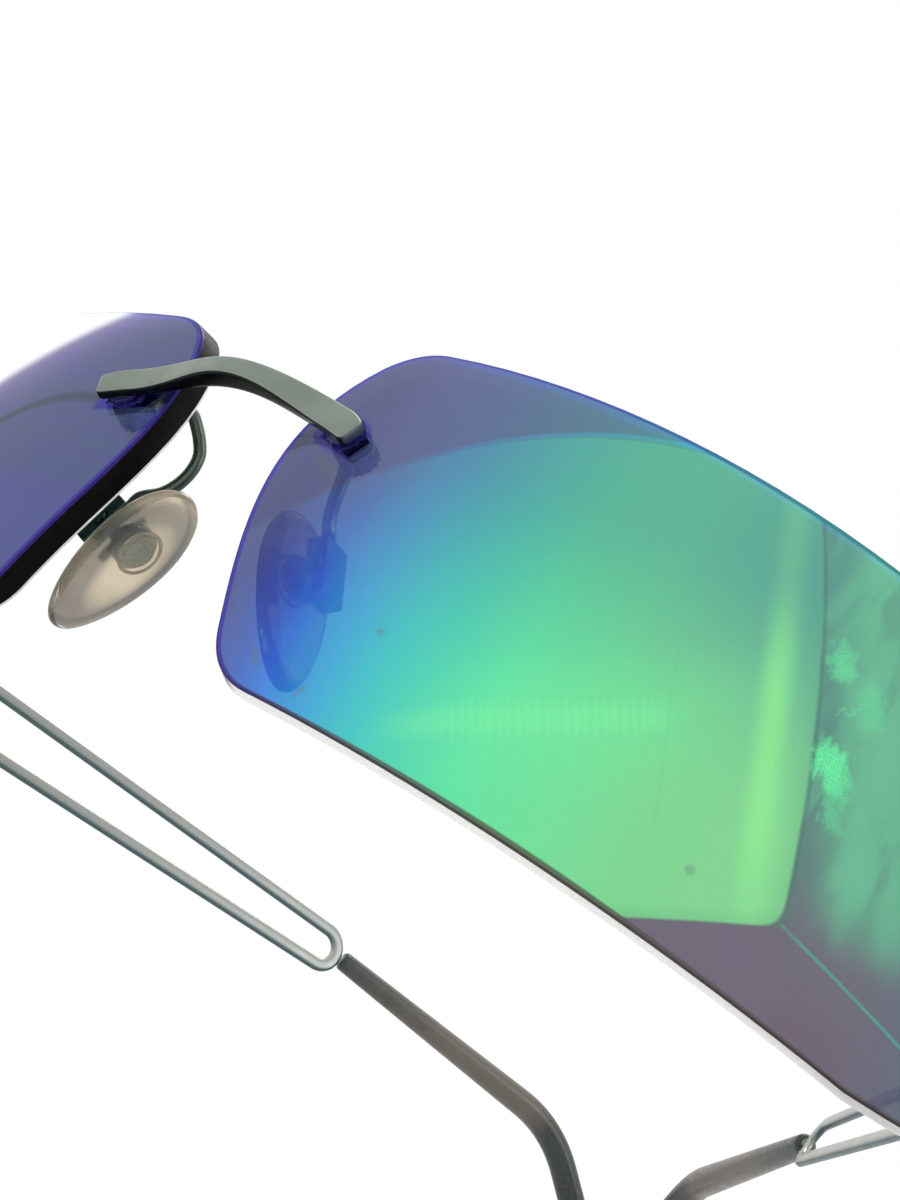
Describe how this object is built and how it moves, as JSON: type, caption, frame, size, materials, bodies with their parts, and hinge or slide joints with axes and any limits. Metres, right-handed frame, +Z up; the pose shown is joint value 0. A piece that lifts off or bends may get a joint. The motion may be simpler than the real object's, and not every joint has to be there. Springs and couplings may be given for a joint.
{
  "type": "rimless sunglasses",
  "caption": "Rimless wraparound sunglasses with mirrored lenses, an arched metal bridge, adjustable nose pads and folding wire-loop temples with soft tips.",
  "frame": {"origin": "middle of the outline at the level on which the lenses and the temple tips stand", "axes": "+X towards the wearer's left, +Y from the lenses back to the temple tips, +Z up"},
  "size_m": [0.1432, 0.1385, 0.0385],
  "materials": {
    "lens": "blue-green mirror coating on a grey polycarbonate lens",
    "metal": "satin gunmetal",
    "dark_metal": "dark gunmetal",
    "pad": "soft translucent silicone",
    "tip": "dark soft-touch sleeve",
    "clear": "clear bush"
  },
  "bodies": {
    "front": {"lens_left": "lens", "lens_right": "lens", "bridge": "metal", "lens_bushes": "clear", "lens_washers": "dark_metal", "bridge_nuts": "dark_metal", "hinge_nuts": "dark_metal", "pad_arm_left": "metal", "pad_arm_right": "metal", "pad_box_left": "dark_metal", "pad_box_right": "dark_metal", "pad_screws": "dark_metal", "end_piece_left": "metal", "end_piece_right": "metal", "hinge_screw_left": "dark_metal", "hinge_screw_right": "dark_metal"},
    "temple_left": {"hinge_plate_left": "metal", "temple_wire_left": "metal", "temple_rod_left": "metal", "temple_tip_left": "tip"},
    "temple_right": {"hinge_plate_right": "metal", "temple_wire_right": "metal", "temple_rod_right": "metal", "temple_tip_right": "tip"},
    "pad_left": {"nose_pad_left": "pad", "pad_core_left": "dark_metal"},
    "pad_right": {"nose_pad_right": "pad", "pad_core_right": "dark_metal"}
  },
  "joints": [
    {"name": "temple_left_fold", "type": "hinge", "parent": "front", "child": "temple_left", "pos_m": [0.069, -0.03552, 0.01444], "axis": [0, 0, 1], "range_deg": [-31.4, 58.6]},
    {"name": "temple_right_fold", "type": "hinge", "parent": "front", "child": "temple_right", "pos_m": [-0.069, -0.03552, 0.01444], "axis": [0, 0, -1], "range_deg": [-31.4, 50]},
    {"name": "pad_left_tilt", "type": "hinge", "parent": "front", "child": "pad_left", "pos_m": [0.01175, -0.05942, 0.01959], "axis": [0.0382, 0.9957, 0.0841], "range_deg": [-8, 8]},
    {"name": "pad_right_tilt", "type": "hinge", "parent": "front", "child": "pad_right", "pos_m": [-0.01175, -0.05942, 0.01959], "axis": [0.0382, -0.9957, -0.0841], "range_deg": [-8, 8]}
  ]
}
